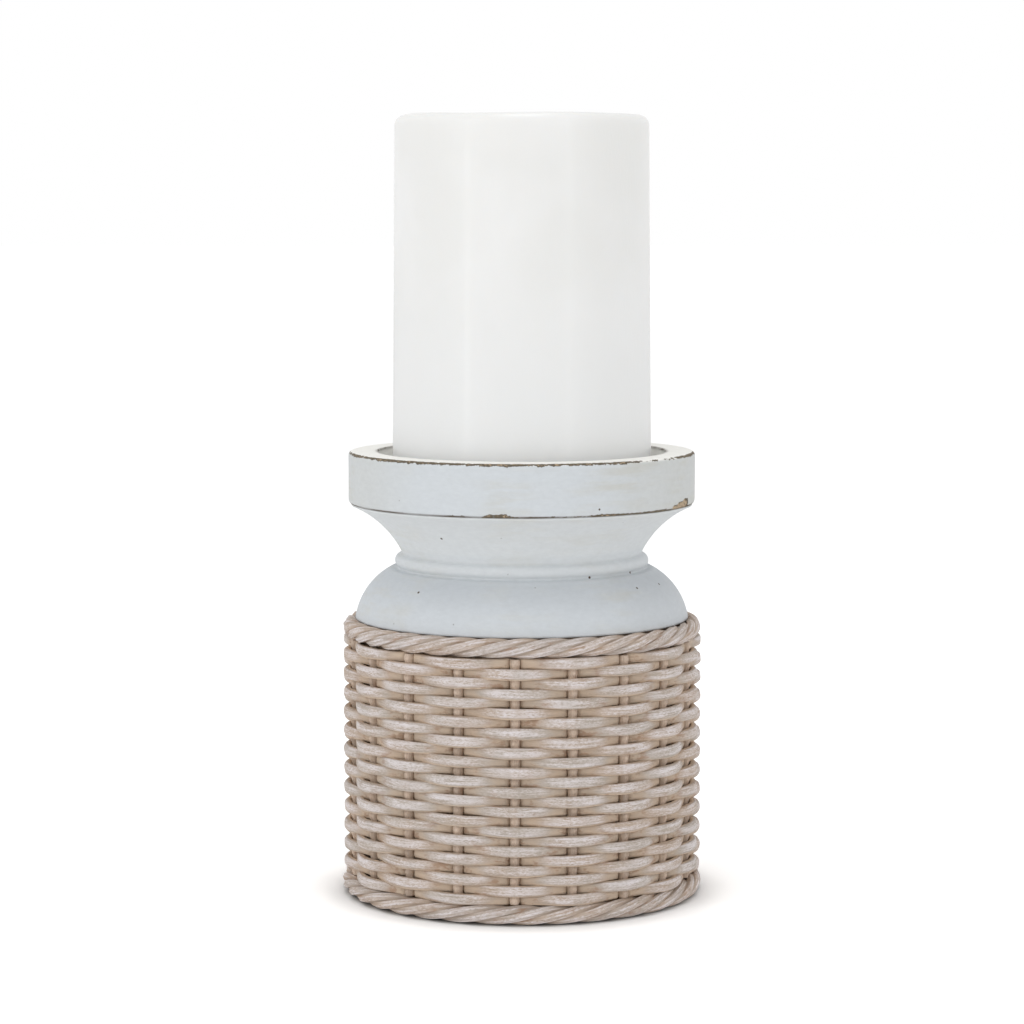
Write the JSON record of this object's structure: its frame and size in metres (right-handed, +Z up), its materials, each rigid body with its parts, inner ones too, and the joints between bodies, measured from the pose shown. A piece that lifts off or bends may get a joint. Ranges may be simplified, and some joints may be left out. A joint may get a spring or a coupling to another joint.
{
  "type": "pillar candle holder",
  "caption": "Turned, painted wooden candlestick on a drum jacketed in woven wicker between two wicker ropes, with a pillar candle that lifts out.",
  "frame": {"origin": "centre of the underside, on the table", "axes": "+Z up along the turning axis, -Y the front of the picture, +X to its right"},
  "size_m": [0.1073, 0.1073, 0.2294],
  "materials": {
    "painted_wood": "chalky pale grey-white paint, rubbed through at the edges",
    "bare_wood": "plain sanded",
    "wicker_weave": "natural reed with a dry-brushed white wash",
    "wicker_stakes": "natural reed",
    "wicker_rope": "natural reed with a dry-brushed white wash",
    "candle_wax": "satin wax",
    "wick_cotton": "waxed cotton braid",
    "zinc_steel": "zinc plated",
    "felt": "wool felt"
  },
  "bodies": {
    "holder": {"candle_plate": "painted_wood", "plate_screw": "zinc_steel", "turned_neck": "painted_wood", "neck_dowel": "bare_wood", "core_drum": "bare_wood", "base_disc": "bare_wood", "base_screws": "zinc_steel", "felt_pad": "felt", "stake_01": "wicker_stakes", "stake_02": "wicker_stakes", "stake_03": "wicker_stakes", "stake_04": "wicker_stakes", "stake_05": "wicker_stakes", "stake_06": "wicker_stakes", "stake_07": "wicker_stakes", "stake_08": "wicker_stakes", "stake_09": "wicker_stakes", "stake_10": "wicker_stakes", "stake_11": "wicker_stakes", "stake_12": "wicker_stakes", "stake_13": "wicker_stakes", "stake_14": "wicker_stakes", "stake_15": "wicker_stakes", "stake_16": "wicker_stakes", "stake_17": "wicker_stakes", "stake_18": "wicker_stakes", "stake_19": "wicker_stakes", "weaver_1": "wicker_weave", "weaver_2": "wicker_weave", "weaver_3": "wicker_weave", "weaver_4": "wicker_weave", "weaver_5": "wicker_weave", "top_rope_strand_1": "wicker_rope", "top_rope_strand_2": "wicker_rope", "top_rope_strand_3": "wicker_rope", "top_rope_strand_4": "wicker_rope", "foot_rope_strand_1": "wicker_rope", "foot_rope_strand_2": "wicker_rope", "foot_rope_strand_3": "wicker_rope", "foot_rope_strand_4": "wicker_rope"},
    "candle": {"pillar_candle": "candle_wax", "candle_wick": "wick_cotton", "wick_tab": "zinc_steel"}
  },
  "joints": [
    {"name": "candle_lift", "type": "slide", "parent": "holder", "child": "candle", "axis": [0, 0, 1], "range_m": [0, 0.125]}
  ]
}
